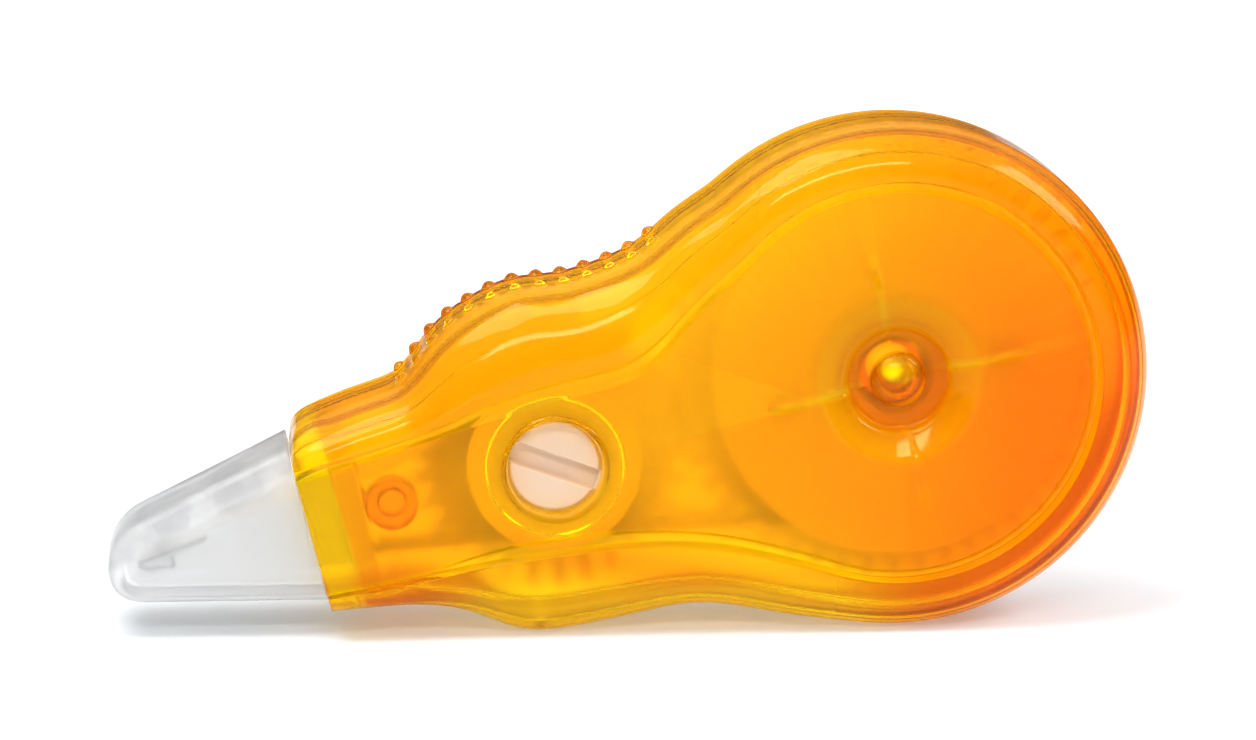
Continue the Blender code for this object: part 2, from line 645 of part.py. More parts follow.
def cap():
    """Frosted cap, a hollow wedge that slides on over the tip's cheeks."""
    curve = cap_curve()
    body = prism("cap", curve, -CAP_HALF_WIDTH, CAP_HALF_WIDTH)
    edge = body.modifiers.new("edge", "BEVEL")
    edge.width = CAP_EDGE_ROUND
    edge.segments = 2
    edge.angle_limit = math.radians(50)
    body.data = bpy.data.meshes.new_from_object(body.evaluated_get(bpy.context.evaluated_depsgraph_get()))
    body.modifiers.clear()
    inner = offset(curve, CAP_WALL)
    hollow = [inner[0] - CAP_WALL * FORWARD, *inner, inner[-1] - CAP_WALL * FORWARD]
    cut(body, prism("hollow", hollow, -CAP_HALF_WIDTH + CAP_WALL, CAP_HALF_WIDTH - CAP_WALL))
    return body


def finish(piece, look, axis=None):
    """Give a piece its material, smooth shading and, if it turns, an origin on its axis."""
    piece.data.materials.clear()
    piece.data.materials.append(look)
    piece.data.shade_smooth()
    piece.data.set_sharp_from_angle(angle=math.radians(35))
    if axis is not None:
        place = Vector((axis.x, 0, axis.y))
        piece.data.transform(Matrix.Translation(-place))
        piece.location = place


def main():
    for old in list(bpy.data.objects):
        bpy.data.objects.remove(old)
    orange = material("orange_plastic", (0.95, 0.36, 0.005), 0.12)
    frosted = material("frosted_plastic", (0.82, 0.83, 0.84), 0.3)
    white = material("white_plastic", (0.86, 0.83, 0.8), 0.35)
    rubber = material("grey_rubber", (0.2, 0.2, 0.2), 0.7)
    film = material("white_tape", (0.9, 0.9, 0.88), 0.5)
    finish(front_case(), orange)
    finish(rear_case(), orange)
    finish(cap(), frosted, TIP)
    finish(applicator_head(), white)
    finish(applicator_blade(), rubber)
    finish(supply_gear(), white, BIG_CENTRE)
    finish(supply_core(), white, BIG_CENTRE)
    finish(clutch_ring(), rubber, BIG_CENTRE)
    finish(takeup_gear(), white, TAKEUP_AXIS)
    finish(takeup_hub(), white, TAKEUP_AXIS)
    for roll, axis in zip(tape_rolls(), (BIG_CENTRE, TAKEUP_AXIS)):
        finish(roll, film, axis)
    for name, route in zip(("tape_feed", "tape_return"), tape_routes()):
        finish(tape_strip(name, route), film)


main()
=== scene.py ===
import json
import math

import bmesh
import bpy
import numpy as np
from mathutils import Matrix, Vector
from mathutils.geometry import delaunay_2d_cdt


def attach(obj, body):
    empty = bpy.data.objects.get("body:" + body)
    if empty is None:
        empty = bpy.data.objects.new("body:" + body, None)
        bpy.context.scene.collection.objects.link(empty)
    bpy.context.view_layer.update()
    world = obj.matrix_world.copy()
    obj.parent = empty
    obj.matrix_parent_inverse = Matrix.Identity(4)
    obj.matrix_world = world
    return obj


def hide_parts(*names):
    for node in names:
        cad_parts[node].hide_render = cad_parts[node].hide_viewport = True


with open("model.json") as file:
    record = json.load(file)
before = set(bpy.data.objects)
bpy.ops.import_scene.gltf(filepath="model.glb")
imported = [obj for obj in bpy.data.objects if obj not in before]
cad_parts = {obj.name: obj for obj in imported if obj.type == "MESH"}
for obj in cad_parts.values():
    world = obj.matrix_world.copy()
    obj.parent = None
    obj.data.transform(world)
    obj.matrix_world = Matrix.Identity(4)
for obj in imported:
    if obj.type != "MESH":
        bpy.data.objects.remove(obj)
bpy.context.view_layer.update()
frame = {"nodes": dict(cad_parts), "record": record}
print("frame loaded")

mm = 0.001
joints = {joint["name"]: joint for joint in frame["record"]["behaviour"]["joints"]}
supplyAxis = np.array(joints["supply_spin"]["pos_m"])[[0, 2]]
takeupAxis = np.array(joints["takeup_spin"]["pos_m"])[[0, 2]]
plainTone = 0.62   # tint of a piece that isn't shaded from place to place

case = {                       # orange half shells, sizes in metres
    "bigRadius": 17.6 * mm,    # round end
    "bigArc": (-95, 134),      # degrees
    "panelRadius": 13.1 * mm,  # round end of the recessed panel
    "panelArc": (-95, 142),
    "panelLead": -115,         # degrees, where the panel's lower edge runs into its arc
    "band": 2.5 * mm,          # flat rim each side of the seam
    "crest": 6.5 * mm,         # highest point of the shoulder
    "crestShare": 0.72,        # its place between the outer edge and the panel's edge
    "panel": 6.0 * mm,         # recessed panel
    "groove": 0.26 * mm,       # round the panel, below it
    "wall": 1.4 * mm,          # rim and shoulder
    "panelWall": 1.2 * mm,
    "seam": 0.02 * mm,
    "noseTop": (-18.4 * mm, 2.3 * mm),       # from the take-up axis
    "noseBottom": (-15.2 * mm, -10.116 * mm),
    "panelTopStep": 3.2 * mm,
    "panelBottomStep": 1.85 * mm,
    "cornerRound": 1.5 * mm,
    "gripCrest": 12.4 * mm,    # above the take-up axis
    "gripStart": -10.3 * mm,
    "gripEnd": 7.0 * mm,
    "nubs": 13,
    "nubRadius": 0.58 * mm,
    "nubHeight": 0.42 * mm,
    "nubRow": 2.15 * mm,       # from the seam
    "lip": 0.7 * mm,           # thinner wall where the two halves meet
    "lipDepth": 2.0 * mm,
    "noseThin": 0.4,           # share of the wall left at the open nose
    "noseTaper": (0.5 * mm, 3.0 * mm),       # behind the nose: start and length of the taper
    "innerGroove": 0.4 * mm,   # two grooves round the inside of the shoulder
    "innerGrooves": ((0.15, 0.45), (0.7, 0.88)),   # shares of the climb to the panel
    "steps": (120, 160, 370),  # along the underside, the round end and the grip side
}


def smoothCurve(points, count):   # Catmull-Rom through the points, then equal steps of length
    points = np.asarray(points, float)
    padded = np.vstack([2 * points[0] - points[1], points, 2 * points[-1] - points[-2]])
    t = np.linspace(0, 1, 24, endpoint=False)[None, :, None]
    a, b, c, d = (padded[i:len(padded) - 3 + i, None, :] for i in range(4))
    curve = 2 * b + (c - a) * t + (2 * a - 5 * b + 4 * c - d) * t ** 2
    curve = 0.5 * (curve + (3 * b - a - 3 * c + d) * t ** 3)
    return evenly(np.vstack([curve.reshape(-1, 2), points[-1]]), count)


def evenly(curve, count):   # same polyline with points at equal lengths
    run = np.r_[0, np.cumsum(np.linalg.norm(np.diff(curve, axis=0), axis=1))]
    wanted = np.linspace(0, run[-1], count)
    return np.column_stack([np.interp(wanted, run, curve[:, 0]), np.interp(wanted, run, curve[:, 1])])


def arcPoints(centre, radius, startDeg, endDeg, count):   # centre plus radius times cosine and sine
    turn = np.radians(np.linspace(startDeg, endDeg, count))
    return centre + radius * np.column_stack([np.cos(turn), np.sin(turn)])


def inwardNormals(curve):   # left-hand side of the direction of travel
    along = np.gradient(curve, axis=0)
    along /= np.linalg.norm(along, axis=1)[:, None]
    return np.column_stack([-along[:, 1], along[:, 0]])


def softened(curve, passes):   # three-point average, ends kept
    for _ in range(passes):
        curve[1:-1] = (curve[:-2] + 2 * curve[1:-1] + curve[2:]) / 4
    return curve


def direction(turnDeg):   # unit arm in the XZ plane
    return np.array([math.cos(math.radians(turnDeg)), math.sin(math.radians(turnDeg))])


noseTop = takeupAxis + np.array(case["noseTop"])
noseBottom = takeupAxis + np.array(case["noseBottom"])
noseLine = (noseTop - noseBottom) / np.linalg.norm(noseTop - noseBottom)
noseAhead = np.array([-noseLine[1], noseLine[0]])


def caseCurves():   # outer and panel edges as matching open curves, nose bottom round the big end to nose top
    def above(height, steps):   # millimetres ahead of the take-up axis, and above a height
        return [np.array([takeupAxis[0] - ahead * mm, height + rise * mm]) for ahead, rise in steps]

    underSteps, arcSteps, gripSteps = case["steps"]
    bigArc = arcPoints(supplyAxis, case["bigRadius"], *case["bigArc"], arcSteps)
    panelArc = arcPoints(supplyAxis, case["panelRadius"], *case["panelArc"], arcSteps)
    panelLead = arcPoints(supplyAxis, case["panelRadius"], case["panelLead"], case["panelArc"][0], 4)
    corner = case["cornerRound"]
    top = [noseTop - corner * noseLine, noseTop - 0.3 * corner * (noseLine + noseAhead),
           noseTop + corner * np.array([0.93, 0.36])]   # rounded upper corner of the nose
    top += above(takeupAxis[1] + case["gripCrest"],
                 ((14.2, -8.35), (11.1, -7.25), (9.9, -6.2), (8.0, -3.8), (5.9, -2.1), (2.8, -0.6),
                  (-1.4, 0), (-5.6, 1.6), (-8.7, 4.1)))
    top.append(bigArc[-1])
    under = [noseBottom]
    under += above(0, ((9.5, 2.05), (5.9, 1.5), (2.7, 0.2), (0, 0), (-4.4, 0.75), (-10.2, 1.73),
                       (-17.0, 0.67)))
    under.append(bigArc[0])
    panelTop = [noseTop - case["panelTopStep"] * noseLine]
    panelTop += above(takeupAxis[1], ((9.0, 1.9), (0.8, 4.35), (-5.8, 6.3), (-10.0, 10.7)))
    panelTop.append(panelArc[-1])
    panelUnder = [noseBottom + case["panelBottomStep"] * noseLine]
    panelUnder += above(takeupAxis[1], ((8.8, -6.95), (5.3, -5.7), (0.6, -4.6), (-5.8, -4.1), (-11.9, -4.6)))
    panelUnder += list(panelLead)
    outer = np.vstack([smoothCurve(under, underSteps)[:-1], bigArc, smoothCurve(top[::-1], gripSteps)[1:]])
    panel = np.vstack([smoothCurve(panelUnder, underSteps)[:-1], panelArc,
                       smoothCurve(panelTop[::-1], gripSteps)[1:]])
    return softened(outer, 12), softened(panel, 30)


def gridFaces(rows, columns, closed):   # quads of a grid stored row by row
    across = columns if closed else columns - 1
    r, c = np.meshgrid(np.arange(rows - 1), np.arange(across), indexing="ij")
    low, high, following = r * columns, (r + 1) * columns, (c + 1) % columns
    quads = np.stack([low + c, low + following, high + following, high + c], axis=-1)
    return quads.reshape(-1, 4).tolist()


class Skin:   # gathers patches of vertices and faces, with a frost value and an added tone of painted light for each vertex
    weldGap = 0.002 * mm

    def __init__(self):
        self.vertices = []
        self.faces = []
        self.frost = []
        self.lift = []
        self.count = 0

    def add(self, vertices, faces, frost, lift=0.0):
        self.vertices.append(np.asarray(vertices, float).reshape(-1, 3))
        self.faces += [[index + self.count for index in face] for face in faces]
        self.frost.append(np.broadcast_to(frost, len(self.vertices[-1])))
        self.lift.append(np.broadcast_to(lift, len(self.vertices[-1])))
        self.count += len(self.vertices[-1])

    def grid(self, points, frost=0.0, closed=False, lift=0.0):   # frost: one value, one a row or one a point
        size = points.shape[:2]
        frost = np.asarray(frost, float)
        frost = np.broadcast_to(frost if frost.ndim == 2 else frost.reshape(-1, 1), size)
        self.add(points, gridFaces(*size, closed), frost.ravel(), np.broadcast_to(lift, size).ravel())

    def build(self, name, toneAt=None):   # one welded mesh with outward faces, placed by its vertices
        mesh = bpy.data.meshes.new(name)
        points = np.vstack(self.vertices)
        mesh.from_pydata(points.tolist(), [], self.faces)
        tones = (toneAt(points) if toneAt else plainTone) + np.concatenate(self.lift)
        for value, numbers in (("frost", np.concatenate(self.frost)), ("tone", np.clip(tones, 0, 1))):
            mesh.attributes.new(value, "FLOAT", "POINT").data.foreach_set("value", numbers)
        shape = bmesh.new()
        shape.from_mesh(mesh)
        bmesh.ops.remove_doubles(shape, verts=shape.verts, dist=self.weldGap)
        bmesh.ops.recalc_face_normals(shape, faces=shape.faces)
        loose = sum(not edge.is_manifold for edge in shape.edges)
        shape.to_mesh(mesh)
        shape.free()
        mesh.shade_smooth()
        piece = bpy.data.objects.new(name, mesh)
        bpy.context.scene.collection.objects.link(piece)
        print(name, len(mesh.polygons), "faces, open edges", loose)
        return piece


def standing(points, depth):   # XZ points lifted to a depth along Y
    points = np.asarray(points)
    return np.column_stack([points[:, 0], np.broadcast_to(depth, len(points)), points[:, 1]])


def spun(centre, profile, steps, side, startDeg=0.0):   # radius and depth profile turned round Y
    turn = np.linspace(0, 2 * np.pi, steps, endpoint=False) + math.radians(startDeg)
    profile = np.asarray(profile)
    x = centre[0] + profile[:, :1] * np.cos(turn)
    z = centre[1] + profile[:, :1] * np.sin(turn)
    return np.stack([x, np.broadcast_to(side * profile[:, 1:], x.shape), z], axis=-1)


def rounded(points, radius, steps=6):   # polyline with each inner corner replaced by a small curve
    points = np.asarray(points, float)
    made = [points[:1]]
    for before, corner, after in zip(points[:-2], points[1:-1], points[2:]):
        reach = min(radius, np.linalg.norm(before - corner) / 2.2, np.linalg.norm(after - corner) / 2.2)
        start = corner + (before - corner) / np.linalg.norm(before - corner) * reach
        end = corner + (after - corner) / np.linalg.norm(after - corner) * reach
        t = np.linspace(0, 1, steps)[:, None]
        made.append((1 - t) ** 2 * start + 2 * t * (1 - t) * corner + t ** 2 * end)
    made.append(points[-1:])
    return np.vstack(made)


def grooveOutline(start, end, half):   # long hexagon round a straight groove
    arm = (end - start) / np.linalg.norm(end - start)
    side = np.array([-arm[1], arm[0]]) * half
    near, far = start + arm * 2 * half, end - arm * 2 * half
    return np.array([start, near + side, far + side, end, far - side, near - side])


def flatPatch(loop, holes, depth, cross=(), grooves=()):   # face in a loop, round holes open
    margin = 1.6   # flat border round each groove, in half widths
    loops = [np.asarray(loop)] + [np.asarray(ring) for _, _, ring in holes]
    for start, end, half in grooves:
        arm = (end - start) / np.linalg.norm(end - start) * half
        loops.append(grooveOutline(start - margin * arm, end + margin * arm, half * margin))
        loops.append(grooveOutline(start, end, half))
        loops.append(np.array([start + 2 * arm, end - 2 * arm]))
    points = np.vstack(loops)
    edges = []
    first = 0
    for ring in loops:
        edges += [(first + i, first + (i + 1) % len(ring)) for i in range(len(ring))]
        first += len(ring)
    edges += list(cross)
    scaled = [Vector(point) for point in (points / mm).tolist()]
    vertices, _, faces, _, _, _ = delaunay_2d_cdt(scaled, edges, [], 1, 1e-6)
    vertices = np.array([list(vertex) for vertex in vertices]) * mm
    keep = np.ones(len(faces), bool)
    for centre, radius, _ in holes:   # a hole's own triangles touch only its ring
        onRing = np.abs(np.linalg.norm(vertices - centre, axis=1) - radius) < 0.001 * mm
        keep &= ~np.array([onRing[list(face)].all() for face in faces])
    return standing(vertices, depth), [list(face) for face, kept in zip(faces, keep) if kept]


def ramp(value, start, width=0.1):   # smooth step from nought to one
    t = np.clip((value - start) / width, 0, 1)
    return t * t * (3 - 2 * t)


def within(value, edge, width):   # smooth step from one to nought
    return 1 - ramp(value, edge, width)


def behindNose(flat):   # distance back from the open nose
    return (flat - noseBottom) @ -noseAhead


def shoulderRows(insetWall, topDepth, endShare, steps):   # quarter ellipse from rim band to crest
    turn = np.linspace(0, np.pi / 2, steps)
    share = endShare * (1 - np.cos(turn))
    depth = case["band"] + (topDepth - case["band"]) * np.sin(turn)
    return [(s, d, insetWall) for s, d in zip(share, depth)]


# a row is a share of the way from outer edge to panel edge, a depth along Y and an inset from the outer edge
def outerRows():   # rim band, shoulder, step down into the groove, step up to the panel
    rows = [(0, d, 0) for d in np.linspace(case["seam"], case["band"], 27)[:-1]]
    rows += shoulderRows(0, case["crest"], case["crestShare"], 26)
    crest, panel = case["crest"] / mm, case["panel"] / mm
    groove = panel - case["groove"] / mm
    step = rounded([(case["crestShare"], crest), (0.80, crest - 0.02), (0.85, groove), (0.93, groove),
                    (0.975, panel), (1.05, panel)], 0.2)
    rows += [(s, d * mm, 0) for s, d in step[1:]]
    return rows


def innerRows():   # inside of rim and shoulder, thin at the lip and at two grooves, up to the panel's back
    wall, lip = case["wall"], case["lip"]
    rows = [(0, d, lip + (wall - lip) * ramp(d, 0.2 * mm, case["lipDepth"]))
            for d in np.linspace(case["seam"], case["band"], 12)[:-1]]
    back = case["panel"] - case["panelWall"]
    for share, depth, inset in shoulderRows(wall, back, 0.8, 27):
        climb = (depth - case["band"]) / (back - case["band"])
        cut = sum(ramp(climb, low) - ramp(climb, high) for low, high in case["innerGrooves"])
        rows.append((share, depth, inset - cut * case["innerGroove"]))
    rows.append((0.86, back, wall))
    return rows


def squareEnds(line, base, ahead, count=30):   # slides both ends along the line onto a plane, less further in
    for index in (np.arange(count), len(line) - 1 - np.arange(count)):
        tangent = line[index[0]] - line[index[4]]
        tangent /= np.linalg.norm(tangent)
        gap = (base - line[index[0]]) @ ahead / (tangent @ ahead)
        line[index] += np.linspace(1, 0, count)[:, None] * gap * tangent
    return line


def sweepRows(rows, outer, panel, side, bumps):   # each row lies between the two curves at its own depth
    inward = inwardNormals(outer)
    thin = case["noseThin"] + (1 - case["noseThin"]) * ramp(behindNose(outer), *case["noseTaper"])
    lines = []
    for share, depth, inset in rows:
        line = outer + share * (panel - outer) + inset * max(0, 1 - share) * thin[:, None] * inward
        line = line - inward * bumps(depth)[:, None] if bumps else line
        lines.append(standing(squareEnds(line, noseBottom, noseAhead), side * depth))
    return np.stack(lines)


def nubHeights(outer):   # round beads on the grip: height falls with the square of the distance
    x = outer[:, 0] - takeupAxis[0]
    run = np.r_[0, np.cumsum(np.linalg.norm(np.diff(outer, axis=0), axis=1))]
    onTop = np.arange(len(outer)) > len(outer) // 2
    grip = np.where(onTop & (x > case["gripStart"]) & (x < case["gripEnd"]))[0]
    centres = np.linspace(run[grip[0]], run[grip[-1]], case["nubs"])
    nearest = np.abs(run[:, None] - centres).min(axis=1)

    def bumps(depth):
        distance = np.sqrt(nearest ** 2 + (depth - case["nubRow"]) ** 2)
        return case["nubHeight"] * np.maximum(1 - (distance / case["nubRadius"]) ** 2, 0)
    return bumps


roundSteps = 128
rebate = {"depth": 0.3 * mm, "starts": (2.5 * mm, 4.3 * mm), "run": 0.3 * mm}   # steps inside the open nose
window = {"bore": 3.25 * mm, "lead": 0.12 * mm, "leadDepth": 0.3 * mm, "ring": 3.75 * mm, "rise": 0.16 * mm,
          "slope": 0.2 * mm, "margin": 0.1 * mm, "boss": 4.6 * mm, "bossDepth": 4.45 * mm,
          "bossSlope": 0.2 * mm, "bossMargin": 0.42 * mm, "fillet": 0.2 * mm}
dimple = {"mouth": 5.4 * mm, "margin": 0.5 * mm, "ledge": 3.75 * mm, "ledgeDepth": 0.7 * mm,
          "floor": 3.4 * mm, "depth": 1.3 * mm, "dome": 1.92 * mm, "domeRise": 1.0 * mm, "domeSteps": 14,
          "boss": 6.2 * mm, "bossMargin": 0.4 * mm, "thick": 1.15 * mm, "hollow": 1.45 * mm,
          "hollowRise": 1.65 * mm, "rootStep": 0.05 * mm, "fillet": 0.3 * mm, "steps": 192}
ribs = {"turns": (12.5, 192.5, 102.5, 282.5), "reaches": (9.2 * mm, 9.2 * mm, 7.8 * mm, 7.4 * mm),
        "inner": 6.6 * mm, "outer": 9.2 * mm, "half": 0.2 * mm, "foot": 3.4 * mm, "footStep": 0.5 * mm,
        "gap": 0.02 * mm, "grooveStart": 6.45 * mm, "grooveHalf": 0.28 * mm, "grooveDepth": 0.25 * mm}
posts = {   # axle posts moulded on the rear panel and cored out from behind
    "supply": {"radius": 2.2 * mm, "end": -0.4 * mm, "bore": 1.9 * mm, "boreEnd": 0.2 * mm},
    "takeup": {"radius": 1.4 * mm, "end": -2.1 * mm, "bore": 0.8 * mm, "boreEnd": 3.6 * mm},
    "margin": 0.3 * mm, "draft": 0.1 * mm, "fillet": 0.15 * mm,
}
# frost from 0, gloss, to 1
frosts = {"panel": 0.5, "panelBack": 1.0, "dome": 0.25, "dimpleBack": 0.7, "bore": 0.1, "post": 0.2}
paintedLightShade = {   # painted light and shade: tone from 0, deep orange, to 1, pale yellow, that each place adds; paler is painted glow and highlight, deeper is painted shade
    "middle": 0.43, "bigEnd": -0.36, "top": 0.16, "foot": 0.7, "noseStrip": 0.22, "noseBand": -0.04,
    "shoulder": 0.08, "groove": 0.35, "nubs": 0.6, "collar": 0.24, "pocket": -0.4,
    "dish": 0.2, "floor": -0.25, "dome": 0.1, "spot": 0.9, "ribs": (0.4, 0.4, 0.2, 0.1),
}


def noseRebate(points):   # the panel thins in two small steps towards the open nose
    behind = behindNose(points[..., [0, 2]])
    return sum(rebate["depth"] * np.clip((start - behind) / rebate["run"], 0, 1)
               for start in rebate["starts"])


def ribGrooves():   # one groove along each rib, outside the dimple: start, end and half width
    return [(supplyAxis + direction(turn) * ribs["grooveStart"], supplyAxis + direction(turn) * ribs["outer"],
             ribs["grooveHalf"]) for turn in ribs["turns"]]


def nearLine(flat, start, end):   # distance from each point to a straight piece of line
    along = end - start
    share = np.clip((flat - start) @ along / (along @ along), 0, 1)
    return np.linalg.norm(flat - start - share[:, None] * along, axis=1)


def shellPaintedLightShade(points):   # painted light and shade: painted glow at the nose, window, ribs and foot, painted shade at the round end and in the dimple
    flat = points[:, [0, 2]]
    x, z = flat.T
    # painted shade deepening towards the round end, painted light towards the top
    tone = paintedLightShade["middle"] + paintedLightShade["bigEnd"] * ramp(x, 8 * mm, 27 * mm)
    tone += paintedLightShade["top"] * ramp(z, 14 * mm, 14 * mm)
    # painted glow along the foot, for light from the floor below
    alongFoot = ramp(x, -16 * mm, 8 * mm) * within(x, 12 * mm, 10 * mm)
    tone += paintedLightShade["foot"] * within(z, 2.6 * mm, 1.8 * mm) * alongFoot
    behind = behindNose(flat)
    # painted glow in the strip at the open nose, a little painted shade in the band behind it
    tone += paintedLightShade["noseStrip"] * (behind < 2.4 * mm) + paintedLightShade["noseBand"] * (behind < 4.2 * mm)
    fromHub = np.linalg.norm(flat - takeupAxis, axis=1)
    # painted glow on the collar round the window
    front = paintedLightShade["collar"] * within(fromHub, 4.7 * mm, 0.5 * mm)
    fromPocket = np.hypot((x + 1.5 * mm) / (5.5 * mm), (z - 5.3 * mm) / (1.1 * mm))
    front += paintedLightShade["pocket"] * np.exp(-fromPocket ** 2)   # painted shade: deeper patch under the window
    fromDimple = np.linalg.norm(flat - supplyAxis, axis=1)
    # painted glow on the dish's slope, painted shade on its floor, a little painted glow on the dome
    front += paintedLightShade["dish"] * ramp(fromDimple, 3.5 * mm, 0.3 * mm) * within(fromDimple, 5.4 * mm, 0.6 * mm)
    front += paintedLightShade["floor"] * within(fromDimple, 3.45 * mm, 0.2 * mm)
    front += paintedLightShade["dome"] * within(fromDimple, 1.75 * mm, 0.35 * mm)
    fromSpot = np.hypot((x - supplyAxis[0]) / (1.25 * mm), (z - supplyAxis[1] - 0.75 * mm) / (0.95 * mm))
    front += paintedLightShade["spot"] * within(fromSpot, 0.8, 0.4)   # painted highlight on the upper side of the dome
    # painted bright lines along the ribs
    for turn, strength in zip(ribs["turns"], paintedLightShade["ribs"]):
        arm = direction(turn)
        off = nearLine(flat, supplyAxis + arm * dimple["ledge"], supplyAxis + arm * ribs["outer"])
        front += strength * (off < 1.1 * ribs["grooveHalf"])
    return np.clip(tone + front * (points[:, 1] < 0), 0, 1)


def innerFrost(inside):   # finest at the panel, at the foot and under the grip
    x, z = inside[..., 0], inside[..., 2]
    frost = 0.5 + 0.5 * within(z, 6 * mm, 4 * mm) * within(x, 8 * mm, 8 * mm)
    frost += 0.5 * ramp(z, 12 * mm, 3 * mm) * within(x, 4 * mm, 6 * mm)
    frost[-2:] = frosts["panelBack"]
    return np.minimum(frost, 1)


def opening(centre, radius, steps=roundSteps, startDeg=0.0):   # round hole in a flat patch
    return centre, radius, spun(centre, [(radius, 0)], steps, 1, startDeg)[0][:, [0, 2]]


def windowCollar(skin, side):   # raised ring, bore and rear boss: one profile spun round Y
    face, back = case["panel"], case["panel"] - case["panelWall"]
    ring = rounded([(window["ring"] + window["margin"], face), (window["ring"], face),
                    (window["ring"] - window["slope"], face + window["rise"]),
                    (window["bore"] + window["lead"], face + window["rise"]),
                    (window["bore"], face - window["leadDepth"]), (window["bore"], window["bossDepth"]),
                    (window["boss"], window["bossDepth"]), (window["boss"] + window["bossSlope"], back),
                    (window["boss"] + window["bossMargin"], back)], window["fillet"])
    frost = [frosts["panel"]] * 2 + [0.0] * (len(ring) - 4) + [frosts["panelBack"]] * 2
    skin.grid(spun(takeupAxis, ring, roundSteps, side), frost, True)
    return opening(takeupAxis, ring[0][0]), opening(takeupAxis, ring[-1][0])


def domeProfile(radius, base, rise):   # quarter ellipse from the foot of a dome to its middle
    turn = np.linspace(0, np.pi / 2, dimple["domeSteps"])
    return np.column_stack([radius * np.cos(turn), base + rise * np.sin(turn)])


def dimpleDish(skin, side):   # domed dish, and hollow boss behind: two profiles spun round Y
    face, back = case["panel"], case["panel"] - case["panelWall"]
    floor = face - dimple["depth"]
    around = dimple["steps"], side, ribs["turns"][0]
    dish = rounded([(dimple["mouth"] + dimple["margin"], face), (dimple["mouth"], face),
                    (dimple["ledge"], face - dimple["ledgeDepth"]), (dimple["floor"], floor),
                    (dimple["dome"] + dimple["rootStep"], floor)], dimple["fillet"])
    clear = len(dish) - 2
    dish = np.vstack([dish, domeProfile(dimple["dome"], floor, dimple["domeRise"])])
    bowl = spun(supplyAxis, dish, *around)
    # the ribs' grooves run on down the dish and fade at both ends
    fade = np.clip((dimple["mouth"] + 0.3 * mm - dish[:, 0]) / (0.4 * mm), 0, 1)
    fade *= np.clip((dish[:, 0] - dimple["floor"] + 0.5 * mm) / (0.4 * mm), 0, 1)
    bowl[:, ::dimple["steps"] // len(ribs["turns"]), 1] -= side * fade[:, None] * ribs["grooveDepth"]
    skin.grid(bowl, [frosts["panel"]] * 2 + [0.0] * clear + [frosts["dome"]] * dimple["domeSteps"], True)
    bossEnd = floor - dimple["thick"]
    boss = rounded([(dimple["boss"] + dimple["bossMargin"], back), (dimple["boss"], back),
                    (dimple["boss"] - 0.6 * mm, back - 0.13 * mm),
                    (dimple["ledge"] + 0.6 * mm, bossEnd + 0.4 * mm), (dimple["floor"] + 0.5 * mm, bossEnd),
                    (dimple["hollow"] + dimple["rootStep"], bossEnd)], dimple["fillet"])
    boss = np.vstack([boss, domeProfile(dimple["hollow"], bossEnd, dimple["hollowRise"])])
    frost = [frosts["panelBack"]] * 2 + [frosts["dimpleBack"]] * (len(boss) - 2)
    skin.grid(spun(supplyAxis, boss, *around), frost, True)
    return tuple(opening(supplyAxis, radius, dimple["steps"], ribs["turns"][0])
                 for radius in (dish[0][0], boss[0][0]))


def axlePost(skin, side, centre, post):   # core bored from outside and stem inside: two profiles spun round Y
    face, back = case["panel"], case["panel"] - case["panelWall"]
    core = rounded([(post["bore"] + posts["margin"], face), (post["bore"], face),
                    (post["bore"] - posts["draft"], post["boreEnd"]), (0, post["boreEnd"])], posts["fillet"])
    stem = rounded([(post["radius"] + posts["margin"], back), (post["radius"], back),
                    (post["radius"], post["end"]), (0, post["end"])], posts["fillet"])
    for profile, flat, wall in ((core, "panel", "bore"), (stem, "panelBack", "post")):
        frost = [frosts[flat]] * 2 + [frosts[wall]] * (len(profile) - 2)
        skin.grid(spun(centre, profile, roundSteps, side), frost, True)
    return opening(centre, core[0][0]), opening(centre, stem[0][0])


